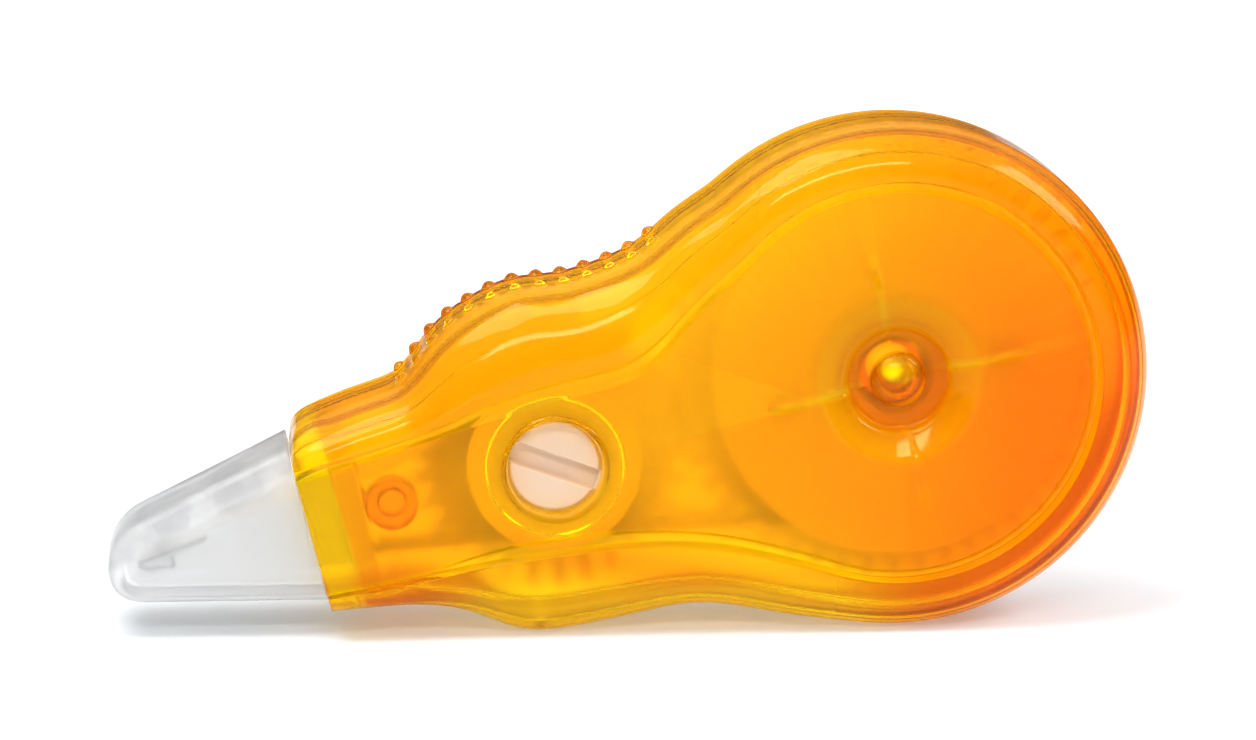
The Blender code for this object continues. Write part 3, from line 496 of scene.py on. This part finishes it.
def caseShell(name, side):   # one closed half shell: outer skin, inner skin, seam lip, nose rim and panel
    outer, panel = caseCurves()
    face, back = case["panel"], case["panel"] - case["panelWall"]
    rows = outerRows()
    bumps = nubHeights(outer)
    outside = sweepRows(rows, outer, panel, side, bumps)
    inside = sweepRows(innerRows(), outer, panel, side, None)
    inside[-2:, :, 1] += side * noseRebate(inside[-2:])
    share = np.array([row[0] for row in rows])[:, None]
    # painted light: paler shoulders inside and out, a painted highlight line in the groove round the panel,
    # painted highlights on the nubs
    beads = np.stack([np.clip(bumps(depth) / (0.1 * mm), 0, 1) for _, depth, _ in rows])
    lift = paintedLightShade["shoulder"] * (share < 0.8) + paintedLightShade["groove"] * (share > 0.8) * (share < 0.98)
    lift = lift + paintedLightShade["nubs"] * beads
    skin = Skin()
    skin.grid(outside, [0.0] * (len(rows) - 8) + [frosts["panel"]] * 8, lift=lift)
    skin.grid(inside, innerFrost(inside), lift=paintedLightShade["shoulder"])
    skin.grid(np.stack([outside[0], inside[0]]))
    rim = np.vstack([outside[:, 0], outside[::-1, -1], inside[:, -1], inside[::-1, 0]])
    skin.add(rim, [list(range(len(rim)))], 0.0)
    if side < 0:
        holes = windowCollar(skin, side), dimpleDish(skin, side)
        grooves = ribGrooves()
    else:
        holes = [axlePost(skin, side, centre, posts[reel])
                 for centre, reel in ((supplyAxis, "supply"), (takeupAxis, "takeup"))]
        grooves = ()
    outHoles, inHoles = zip(*holes)
    vertices, faces = flatPatch(outside[-1][:, [0, 2]], outHoles, side * face, grooves=grooves)
    frost = np.full(len(vertices), frosts["panel"])
    for start, end, half in grooves:   # the middle of each groove is sunk, and the groove is left clear
        arm = (end - start) / np.linalg.norm(end - start) * 2 * half
        for point in (start + arm, end - arm):
            nearest = np.linalg.norm(vertices[:, [0, 2]] - point, axis=1).argmin()
            vertices[nearest, 1] -= side * ribs["grooveDepth"]
        frost[nearLine(vertices[:, [0, 2]], start, end) < 1.1 * half] = 0.0
    skin.add(vertices, faces, frost)
    inLoop = inside[-1][:, [0, 2]]
    behind = behindNose(inLoop)
    middle = len(inLoop) // 2
    edges = [edge for start in rebate["starts"] for edge in (start - rebate["run"], start)]
    cross = [(int(np.abs(behind[:middle] - edge).argmin()),
              middle + int(np.abs(behind[middle:] - edge).argmin())) for edge in edges]
    vertices, faces = flatPatch(inLoop, inHoles, side * back, cross)
    vertices[:, 1] += side * noseRebate(vertices)
    skin.add(vertices, faces, frosts["panelBack"])
    return skin.build(name, shellPaintedLightShade)


def turned(name, centre, profile, tone=plainTone):   # closed solid: radius and depth profile spun round Y
    skin = Skin()
    skin.grid(spun(centre, profile, 96, 1), 0.0, True)
    return skin.build(name, lambda points: np.full(len(points), tone))


hub = {"face": 3.12 * mm, "faceDepth": -4.7 * mm, "rimRound": 0.22 * mm, "slot": 1.4 * mm,
       "slotDepth": 1.0 * mm, "slotRound": 0.16 * mm, "slotTurn": -20.0, "slotDraft": 0.03 * mm,
       "core": 3.4 * mm, "coreFront": -4.05 * mm, "coreBack": 3.4 * mm, "bore": 1.7 * mm,
       "boreEnd": -2.4 * mm}


def slottedHub():   # face depth follows the distance from the slot and from the rim; straight core behind it
    half, radius = hub["slot"] / 2, hub["face"]
    lip = half + hub["slotRound"]
    edge = half + hub["slotRound"] * np.sin(np.linspace(0, np.pi / 2, 7))
    land = lip + (radius - lip) * np.sin(np.linspace(0, np.pi / 2, 22))
    across = np.r_[np.linspace(0, half - hub["slotDraft"], 6), half, edge[1:], land[1:]]
    across = np.r_[-across[:0:-1], across]
    away = np.abs(across)
    curl = np.clip((lip - away) / hub["slotRound"], 0, 1)
    sunk = np.where(away < half, hub["slotDepth"], hub["slotRound"] * (1 - np.sqrt(1 - curl ** 2)))
    along = np.sin(np.linspace(-np.pi / 2, np.pi / 2, 61))
    v = np.sqrt(np.maximum(radius ** 2 - across[:, None] ** 2, 0)) * along
    u = np.broadcast_to(across[:, None], v.shape)
    near = np.clip((np.hypot(u, v) - radius + hub["rimRound"]) / hub["rimRound"], 0, 1)
    depth = hub["faceDepth"] + np.maximum(sunk[:, None], hub["rimRound"] * (1 - np.sqrt(1 - near ** 2)))
    turn = math.radians(hub["slotTurn"])
    x = takeupAxis[0] + v * math.cos(turn) - u * math.sin(turn)
    z = takeupAxis[1] + v * math.sin(turn) + u * math.cos(turn)
    face = np.stack([x, depth, z], axis=-1)
    skin = Skin()
    skin.grid(face)
    loop = np.vstack([face[:, -1], face[-2:0:-1, 0]])
    arm = (loop[:, [0, 2]] - takeupAxis) / radius
    rows = [loop]
    for reach, level in ((radius, "coreFront"), (hub["core"], "coreFront"), (hub["core"], "coreBack"),
                         (hub["bore"], "coreBack"), (hub["bore"], "boreEnd"), (0, "boreEnd")):
        rows.append(standing(takeupAxis + arm * reach, hub[level]))
    skin.grid(np.stack(rows), 0.0, True)
    return skin.build("slotted_hub")


def rib(name, turn, outer):   # thin gusset under the dimple: outline in the radial plane, thickened both ways
    top = case["panel"] - case["panelWall"] - ribs["gap"]
    outline = np.array([(ribs["inner"], ribs["foot"]), (ribs["inner"], top),
                        (outer, top), (outer - ribs["footStep"], ribs["foot"])])
    arm = direction(turn)
    side = np.array([-arm[1], arm[0]])
    faces = [standing(supplyAxis + outline[:, :1] * arm + offset * side, -outline[:, 1])
             for offset in (-ribs["half"], ribs["half"])]
    count = len(outline)
    skin = Skin()
    skin.grid(np.stack(faces), 0.2, True)
    skin.add(np.vstack(faces), [list(range(count)), list(range(count, 2 * count))], 0.2)
    return skin.build(name)


slip = {"inner": 3.7 * mm, "outer": 5.0 * mm, "front": -1.95 * mm, "back": 1.9 * mm}
hubFlange = {"inner": 3.46 * mm, "outer": 6.0 * mm, "front": -4.15 * mm, "back": -3.75 * mm}
tapeFlange = {"inner": 2.7 * mm, "outer": 12.6 * mm, "front": -2.9 * mm, "back": -2.5 * mm}


def washer(name, centre, size):   # flat ring: four corners spun round Y
    inner, outer, front, back = (size[edge] for edge in ("inner", "outer", "front", "back"))
    profile = [(inner, front), (outer, front), (outer, back), (inner, back), (inner, front)]
    return turned(name, centre, rounded(profile, 0.08 * mm))


guide = {"place": (-11.1 * mm, -2.5 * mm), "radius": 1.75 * mm, "bore": 0.95 * mm, "boreEnd": -4.0 * mm,
         "end": -2.6 * mm, "gap": 0.02 * mm, "fillet": 0.12 * mm, "tone": 0.5}


def guidePost():   # blind socket in the nose, bored from the seam side: profile spun round Y
    front = -(case["panel"] - case["panelWall"] - guide["gap"])
    radius, bore = guide["radius"], guide["bore"]
    profile = [(0, front), (radius, front), (radius, guide["end"]), (bore, guide["end"]),
               (bore, guide["boreEnd"]), (0, guide["boreEnd"])]
    centre = takeupAxis + np.array(guide["place"])
    return turned("guide_socket", centre, rounded(profile, guide["fillet"]), guide["tone"])


cap = {"half": 4.3 * mm, "wall": 1.0 * mm, "low": 0.8 * mm, "high": 1.05 * mm, "ahead": 0.15 * mm,
       "tipReach": 30.6014 * mm, "tipTop": 8.15 * mm, "tipTopStep": 2.3 * mm, "sideRound": 1.05 * mm,
       "lowChamfer": 0.7 * mm, "tipChamfer": 1.1 * mm, "topChamfer": 2.2 * mm,
       "facet": (1.6 * mm, 0.6 * mm), "steps": 260}   # facet: depth of the top painted greyer as shade, and its soft edge


def capCurve():   # side view from the lower end of the mouth, round the tip, to the upper end
    tipX = takeupAxis[0] - cap["tipReach"]
    low = noseBottom + cap["low"] * noseLine + cap["ahead"] * noseAhead
    high = noseTop - cap["high"] * noseLine + cap["ahead"] * noseAhead
    span = cap["tipTop"] - low[1]
    tip = [(2.6, 0.005), (1.5, 0.03), (0.5, 0.15), (0.02, 0.42), (0.5, 0.7), (1.35, 0.89)]
    tip = [np.array([tipX + x * mm, low[1] + share * span]) for x, share in tip]
    tip.append(np.array([tipX + cap["tipTopStep"], cap["tipTop"]]))
    back = [low + (tip[0] - low) * t for t in (0, 0.3, 0.6, 0.85)]
    top = [tip[-1] + (high - tip[-1]) * t for t in (0.15, 0.4, 0.7, 1.0)]
    return softened(smoothCurve(back + tip + top, cap["steps"]), 8), low, high, tip[-1]


def capRows(half, spread, steps):   # from one side face over the middle to the other, corners rounded
    turn = np.linspace(0, np.pi / 2, steps)
    corner = [(spread * (1 - np.sin(t)), half - cap["sideRound"] * (1 - np.cos(t))) for t in turn]
    corner += [(0, d) for d in np.linspace(half - cap["sideRound"], 0, 6)[1:]]
    return [(s, -d) for s, d in corner] + [(s, d) for s, d in corner[-2::-1]]


def tipCap():   # hollow wedge: outer skin, inner skin and the mouth rim between them
    curve, low, high, tipCorner = capCurve()
    mouth = (high - low) / np.linalg.norm(high - low)
    inward = -inwardNormals(curve)
    run = np.linspace(0, 1, len(curve))
    chamfers = [cap[edge] for edge in ("lowChamfer", "tipChamfer", "topChamfer") for _ in range(2)]
    chamfer = np.interp(run, (0, 0.4, 0.5, 0.62, 0.74, 1), chamfers)

    def sweep(half, wall, spread):
        lines = []
        for share, depth in capRows(half, spread, 9):
            line = softened(curve + inward * (wall + share * chamfer[:, None]), 6)
            lines.append(standing(squareEnds(line, low, np.array([-mouth[1], mouth[0]])), depth))
        return np.stack(lines)

    skin = Skin()
    outside = sweep(cap["half"], 0, 1.0)
    inside = sweep(cap["half"] - cap["wall"], cap["wall"], 0.5)
    for rows in (outside, inside):
        skin.grid(rows)
        for line in (rows[0], rows[-1]):
            skin.add(*flatPatch(line[:, [0, 2]], [], line[0, 1]), 0.0)
    outLoop = np.vstack([outside[:, 0], outside[::-1, -1]])
    inLoop = np.vstack([inside[:, 0], inside[::-1, -1]])
    skin.grid(np.stack([outLoop, inLoop]), 0.0, True)
    slope = (high - tipCorner) / np.linalg.norm(high - tipCorner)

    def capFacetShade(points):   # painted shade: the sloping top facet is greyer than the sides
        below = (points[:, [0, 2]] - tipCorner) @ np.array([slope[1], -slope[0]])
        start, fade = cap["facet"]
        return np.clip((below - start) / fade, 0, 1)

    return skin.build("tip_cap", capFacetShade)


def principled(name):   # fresh node material and its shader
    made = bpy.data.materials.new(name)
    made.use_nodes = True
    return made, made.node_tree, made.node_tree.nodes["Principled BSDF"]


def node(tree, kind, **values):   # one node with its settings and socket values
    made = tree.nodes.new(kind)
    for key, value in values.items():
        if key in made.inputs:
            made.inputs[key].default_value = value
        else:
            setattr(made, key, value)
    return made


def attribute(tree, name):   # value stored on the mesh
    return node(tree, "ShaderNodeAttribute", attribute_name=name).outputs["Fac"]


def grainOf(tree, scale, detail):   # noise in the piece's own coordinates
    place = node(tree, "ShaderNodeTexCoord")
    grain = node(tree, "ShaderNodeTexNoise", Scale=scale, Detail=detail)
    tree.links.new(place.outputs["Object"], grain.inputs["Vector"])
    return grain.outputs["Fac"]


def mapped(tree, source, limits, kind="LINEAR"):   # limits: from low, from high, to low, to high
    made = node(tree, "ShaderNodeMapRange", interpolation_type=kind)
    for socket, value in zip(("From Min", "From Max", "To Min", "To Max"), limits):
        made.inputs[socket].default_value = value
    tree.links.new(source, made.inputs["Value"])
    return made.outputs["Result"]


def blended(tree, share, first, second):   # between two colours; the first may be a socket
    made = node(tree, "ShaderNodeMix", data_type="RGBA")
    tree.links.new(share, made.inputs["Factor"])
    if isinstance(first, bpy.types.NodeSocket):
        tree.links.new(first, made.inputs[6])
    else:
        made.inputs[6].default_value = (*first, 1)
    made.inputs[7].default_value = (*second, 1)
    return made.outputs[2]


def combined(tree, operation, first, second):   # arithmetic on two values
    made = node(tree, "ShaderNodeMath", operation=operation)
    tree.links.new(first, made.inputs[0])
    tree.links.new(second, made.inputs[1])
    return made.outputs[0]


def roughen(tree, shader, height, strength, depth):   # bump from a height
    bump = node(tree, "ShaderNodeBump", Strength=strength, Distance=depth)
    tree.links.new(height, bump.inputs["Height"])
    tree.links.new(bump.outputs["Normal"], shader.inputs["Normal"])


def absorb(tree, colour, density):   # tint that deepens with thickness
    inside = node(tree, "ShaderNodeVolumeAbsorption", Density=density)
    inside.inputs["Color"].default_value = (*colour, 1)
    tree.links.new(inside.outputs["Volume"], tree.nodes["Material Output"].inputs["Volume"])


def paint(piece, look):
    piece.data.materials.clear()
    piece.data.materials.append(look)


amber = {"deep": (0.94, 0.37, 0.002), "pale": (1.0, 1.0, 0.03), "absorb": (0.998, 0.95, 0.0),
         "density": 2500.0, "roughness": 0.08, "frosted": 0.42, "ior": 1.32, "clear": 0.95, "shine": 0.35,
         "shineTint": (1.0, 0.86, 0.35), "grain": 5000.0, "grainBump": 0.04, "grainDepth": 0.02 * mm}


def amberPlastic():   # clear orange plastic: gloss on the shoulders, fine frost on the panels
    look, tree, shader = principled("amber_plastic")
    # the tone attribute blends deep orange to pale yellow: painted light and shade over the case
    colour = blended(tree, attribute(tree, "tone"), amber["deep"], amber["pale"])
    tree.links.new(colour, shader.inputs["Base Color"])
    shader.inputs["IOR"].default_value = amber["ior"]
    shader.inputs["Specular IOR Level"].default_value = amber["shine"]
    shader.inputs["Specular Tint"].default_value = (*amber["shineTint"], 1)
    shader.inputs["Transmission Weight"].default_value = amber["clear"]
    frost = attribute(tree, "frost")
    spread = mapped(tree, frost, (0, 1, amber["roughness"], amber["frosted"]))
    tree.links.new(spread, shader.inputs["Roughness"])
    height = combined(tree, "MULTIPLY", grainOf(tree, amber["grain"], 1.0), frost)
    roughen(tree, shader, height, amber["grainBump"], amber["grainDepth"])
    absorb(tree, amber["absorb"], amber["density"])
    return look


def mouldedPlastic(name, colour, roughness, grainScale, grainDepth):   # opaque, with a fine satin grain
    look, tree, shader = principled(name)
    grain = grainOf(tree, grainScale, 3.0)
    grainDark = [value * 0.96 for value in colour]
    tree.links.new(blended(tree, grain, grainDark, colour), shader.inputs["Base Color"])
    shader.inputs["Roughness"].default_value = roughness
    roughen(tree, shader, grain, 0.2, grainDepth)
    return look


# the two facet greys are painted shade on the cap's top
frosted = {"ior": 1.4, "clear": 0.75, "cloud": 420.0, "cloudBand": (0.42, 0.58),
           "facetDark": (0.72, 0.72, 0.73), "facetPale": (0.88, 0.88, 0.88),
           "sides": (0.96, 0.96, 0.96), "roughness": (0.22, 0.45),
           "bump": 0.15, "bumpDepth": 0.05 * mm, "absorb": (0.5, 0.5, 0.55), "density": 20.0}


def frostedPlastic():   # cloudy clear plastic of the cap, its top facet painted greyer as shade, in random patches
    look, tree, shader = principled("cap_frosted")
    shader.inputs["IOR"].default_value = frosted["ior"]
    shader.inputs["Transmission Weight"].default_value = frosted["clear"]
    cloud = grainOf(tree, frosted["cloud"], 3.0)
    patches = mapped(tree, cloud, (*frosted["cloudBand"], 0, 1))
    facet = blended(tree, patches, frosted["facetDark"], frosted["facetPale"])
    colour = blended(tree, attribute(tree, "tone"), facet, frosted["sides"])
    tree.links.new(colour, shader.inputs["Base Color"])
    tree.links.new(mapped(tree, cloud, (0, 1, *frosted["roughness"])), shader.inputs["Roughness"])
    roughen(tree, shader, cloud, frosted["bump"], frosted["bumpDepth"])
    absorb(tree, frosted["absorb"], frosted["density"])
    return look


amberLook = amberPlastic()
capLook = frostedPlastic()
# opaque pale yellow ribs behind the panel: painted glow for the bright lines along them
ribGlowLook = mouldedPlastic("rib_edge", (1.0, 0.78, 0.2), 0.4, 1800.0, 0.01 * mm)
whiteLook = mouldedPlastic("reel_plastic", (0.94, 0.93, 0.91), 0.4, 1800.0, 0.02 * mm)
headLook = mouldedPlastic("head_plastic", (0.82, 0.82, 0.81), 0.4, 1800.0, 0.02 * mm)
# peach on the white hub: painted orange glow from the case around it
hubGlowLook = mouldedPlastic("hub_plastic", (0.93, 0.71, 0.54), 0.35, 1800.0, 0.02 * mm)
rubberLook = mouldedPlastic("clutch_rubber", (0.88, 0.86, 0.82), 0.7, 2500.0, 0.03 * mm)
edgeLook = mouldedPlastic("pressing_edge", (0.75, 0.75, 0.74), 0.55, 2500.0, 0.03 * mm)
tapeLook = mouldedPlastic("tape_film", (0.94, 0.94, 0.92), 0.5, 1200.0, 0.01 * mm)
linerLook = mouldedPlastic("liner_film", (0.9, 0.88, 0.82), 0.4, 1200.0, 0.01 * mm)
print("finishes done")

frontShell = caseShell("front_shell", -1)
rearShell = caseShell("rear_shell", 1)
for shell, cadNode in ((frontShell, "front_case"), (rearShell, "rear_case")):
    paint(shell, amberLook)
    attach(shell, "case")
    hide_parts(cadNode)
print("case shells done")

ribPieces = [rib("panel_rib_%d" % (i + 1), turn, reach)
             for i, (turn, reach) in enumerate(zip(ribs["turns"], ribs["reaches"]))]
for insert in ribPieces + [guidePost()]:
    paint(insert, ribGlowLook if insert in ribPieces else amberLook)
    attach(insert, "case")

hubPiece = slottedHub()
paint(hubPiece, hubGlowLook)
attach(hubPiece, "takeup_reel")
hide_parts("takeup_hub")

flangePiece = washer("hub_flange", takeupAxis, hubFlange)
paint(flangePiece, whiteLook)
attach(flangePiece, "takeup_reel")

discPiece = washer("tape_flange", supplyAxis, tapeFlange)
paint(discPiece, whiteLook)
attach(discPiece, "supply_reel")

slipPiece = washer("slip_ring", supplyAxis, slip)
paint(slipPiece, rubberLook)
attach(slipPiece, "drive_gear")
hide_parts("clutch_ring")

capPiece = tipCap()
paint(capPiece, capLook)
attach(capPiece, "cap")
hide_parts("cap")
print("hub, cap and inserts done")

for cadNode, look in (("applicator_head", headLook), ("applicator_blade", edgeLook),
                      ("supply_gear", whiteLook), ("supply_core", whiteLook), ("takeup_gear", whiteLook),
                      ("tape_supply", tapeLook), ("tape_feed", tapeLook),
                      ("tape_takeup", linerLook), ("tape_return", linerLook)):
    paint(frame["nodes"][cadNode], look)

stage = {"azimuth": -4.5, "elevation": 10.8, "distance": 0.362, "lens": 150.0, "target": (0.0, 0.0, 0.0176),
         "floorHalf": 3.0, "floorColour": (0.63, 0.66, 0.68), "floorThrough": 0.75, "floorShine": 0.05,
         "floorGlow": (0.05, 0.22, 0.25, 0.5),   # two distances from the middle, then the strength at each
         "surround": (0.15, 0.95, 0.05, 0.9)}    # two heights of the sky, then the strength at each
lamps = {   # place, aim, size in metres, power in watts
    "front_softbox": ((-0.03, -0.34, 0.24), (0, 0, 0.015), (0.22, 0.045), 0.5),
    "top_softbox": ((-0.14, -0.1, 0.4), (0, 0, 0.015), (0.26, 0.24), 1.4),
    "right_softbox": ((0.3, -0.08, 0.27), (0.02, 0, 0.02), (0.16, 0.18), 0.8),
}


def addCamera():   # long lens at the photographed angle
    turn, lift = math.radians(stage["azimuth"]), math.radians(stage["elevation"])
    away = Vector((math.sin(turn) * math.cos(lift), -math.cos(turn) * math.cos(lift), math.sin(lift)))
    eye = bpy.data.cameras.new("camera")
    eye.lens = stage["lens"]
    camera = bpy.data.objects.new("camera", eye)
    camera.location = Vector(stage["target"]) + away * stage["distance"]
    camera.rotation_euler = away.to_track_quat("Z", "Y").to_euler()
    bpy.context.scene.collection.objects.link(camera)
    bpy.context.scene.camera = camera


def addLight(name, place, aim, size, power):   # soft rectangular lamp turned towards a point
    lamp = bpy.data.lights.new(name, "AREA")
    lamp.shape = "RECTANGLE"
    lamp.size, lamp.size_y = size
    lamp.energy = power
    piece = bpy.data.objects.new(name, lamp)
    piece.location = place
    piece.rotation_euler = (Vector(place) - Vector(aim)).to_track_quat("Z", "Y").to_euler()
    bpy.context.scene.collection.objects.link(piece)


def addFloor():   # pale floor: it keeps the shadow for the camera, and stays pale through the plastic
    half = stage["floorHalf"]
    corners = [(-half, -half, 0), (half, -half, 0), (half, half, 0), (-half, half, 0)]
    mesh = bpy.data.meshes.new("floor")
    mesh.from_pydata(corners, [], [(0, 1, 2, 3)])
    floor = bpy.data.objects.new("floor", mesh)
    bpy.context.scene.collection.objects.link(floor)
    look, tree, shader = principled("floor_white")
    shader.inputs["Base Color"].default_value = (*stage["floorColour"], 1)
    shader.inputs["Roughness"].default_value = 0.9
    shader.inputs["Specular IOR Level"].default_value = 0.1
    shader.inputs["Emission Color"].default_value = (1, 1, 1, 1)
    place = node(tree, "ShaderNodeTexCoord")
    away = node(tree, "ShaderNodeVectorMath", operation="LENGTH")
    tree.links.new(place.outputs["Object"], away.inputs[0])
    level = mapped(tree, away.outputs["Value"], stage["floorGlow"], "SMOOTHSTEP")
    rays = node(tree, "ShaderNodeLightPath").outputs
    glow = combined(tree, "MULTIPLY", rays["Is Camera Ray"], level)
    for ray, share in (("Is Transmission Ray", "floorThrough"), ("Is Glossy Ray", "floorShine")):
        added = node(tree, "ShaderNodeMath", operation="MULTIPLY_ADD")
        added.inputs[1].default_value = stage[share]
        tree.links.new(rays[ray], added.inputs[0])
        tree.links.new(glow, added.inputs[2])
        glow = added.outputs[0]
    tree.links.new(glow, shader.inputs["Emission Strength"])
    paint(floor, look)


def addWorld():   # plain grey surround, paler overhead; white to the camera and through the plastic
    world = bpy.data.worlds.new("studio")
    bpy.context.scene.world = world
    world.use_nodes = True
    tree = world.node_tree
    back = tree.nodes["Background"]
    back.inputs["Color"].default_value = (1, 1, 1, 1)
    place = node(tree, "ShaderNodeTexCoord")
    split = node(tree, "ShaderNodeSeparateXYZ")
    tree.links.new(place.outputs["Generated"], split.inputs[0])
    level = mapped(tree, split.outputs["Z"], stage["surround"], "SMOOTHSTEP")
    rays = node(tree, "ShaderNodeLightPath").outputs
    seen = combined(tree, "MAXIMUM", rays["Is Camera Ray"], rays["Is Transmission Ray"])
    tree.links.new(combined(tree, "MAXIMUM", seen, level), back.inputs["Strength"])


addCamera()
addFloor()
addWorld()
for name, (place, aim, size, power) in lamps.items():
    addLight(name, place, aim, size, power)
bpy.context.scene.view_settings.view_transform = "Standard"
print("stage done")
